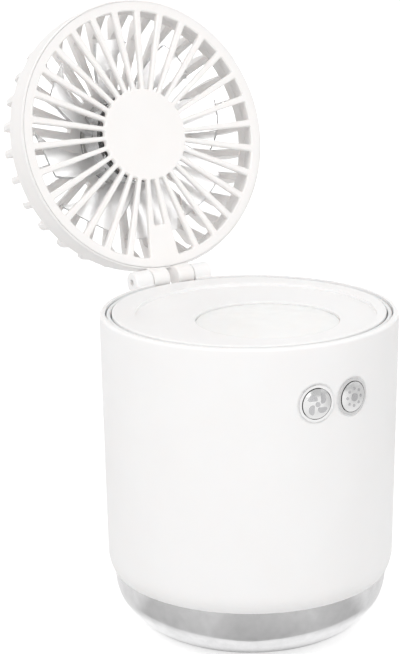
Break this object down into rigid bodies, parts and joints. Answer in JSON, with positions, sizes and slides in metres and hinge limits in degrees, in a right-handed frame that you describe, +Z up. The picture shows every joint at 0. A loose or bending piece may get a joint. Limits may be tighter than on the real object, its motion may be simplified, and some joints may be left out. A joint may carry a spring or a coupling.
{
  "type": "portable camping fan",
  "caption": "Portable fan whose round caged head folds on a rear hinge over a round lantern body with a lamp window and push buttons.",
  "frame": {"origin": "centre of the round body's underside, on the surface that the fan stands on", "axes": "+Z up along the body's axis, front with the buttons towards -Y, hinge at the rear along X"},
  "size_m": [0.112, 0.1687, 0.2318],
  "materials": {
    "shell_white": "satin white",
    "plate_white": "satin white",
    "head_white": "satin white",
    "inner_white": "moulded white",
    "impeller_frost": "translucent white",
    "motor_grey": "moulded grey",
    "bead_grey": "soft grey",
    "rubber_grey": "grained",
    "part_black": "moulded black",
    "bowl_silver": "silver plating",
    "button_silver": "silver plating",
    "bezel_silver": "silver plating",
    "lens_opal": "opal",
    "led_yellow": "phosphor",
    "board_white": "white solder mask",
    "board_green": "green solder mask",
    "cell_blue": "shrink sleeve",
    "clip_nickel": "nickel plated",
    "screw_steel": "zinc plated",
    "pin_steel": "ground",
    "rotor_steel": "pressed",
    "coil_copper": "enamelled copper"
  },
  "bodies": {
    "lantern": {"base_bowl": "bowl_silver", "base_pad": "rubber_grey", "bottom_cover": "shell_white", "bottom_screws": "screw_steel", "outer_shell": "shell_white", "seal_bead": "bead_grey", "top_plate": "plate_white", "lamp_lens": "lens_opal", "lamp_reflector": "inner_white", "lamp_screws": "screw_steel", "lamp_board": "board_white", "lamp_leds": "led_yellow", "button_bezels": "bezel_silver", "key_switches": "part_black", "key_board": "board_green", "key_screws": "screw_steel", "chassis": "inner_white", "battery_cells": "cell_blue", "battery_clips": "clip_nickel", "main_board": "board_green", "board_parts": "part_black", "board_screws": "screw_steel", "charge_socket": "clip_nickel", "hinge_pins": "pin_steel"},
    "head": {"front_grille": "head_white", "shroud": "head_white", "rear_cage": "head_white", "motor_cap": "head_white", "motor_tube": "motor_grey", "motor_bearings": "screw_steel", "motor_board": "board_green", "motor_screws": "screw_steel", "motor_stator": "screw_steel", "motor_coils": "coil_copper"},
    "fan": {"impeller": "impeller_frost", "rotor_ring": "rotor_steel", "rotor_magnets": "part_black", "motor_shaft": "screw_steel"},
    "fan_button": {"button_fan": "button_silver"},
    "light_button": {"button_light": "button_silver"}
  },
  "joints": [
    {"name": "head_fold", "type": "hinge", "parent": "lantern", "child": "head", "pos_m": [0, 0.0579, 0.1245], "axis": [1, 0, 0], "range_deg": [-6, 106.5]},
    {"name": "fan_spin", "type": "hinge", "parent": "head", "child": "fan", "pos_m": [0, 0.07497, 0.17984], "axis": [0, -0.9605, 0.2782], "continuous": true},
    {"name": "fan_press", "type": "slide", "parent": "lantern", "child": "fan_button", "axis": [0.1392, 0.9903, 0], "range_m": [0, 0.0012], "stiffness_N_per_m": 900, "springref_m": -0.0006},
    {"name": "light_press", "type": "slide", "parent": "lantern", "child": "light_button", "axis": [-0.1392, 0.9903, 0], "range_m": [0, 0.0012], "stiffness_N_per_m": 900, "springref_m": -0.0006}
  ]
}
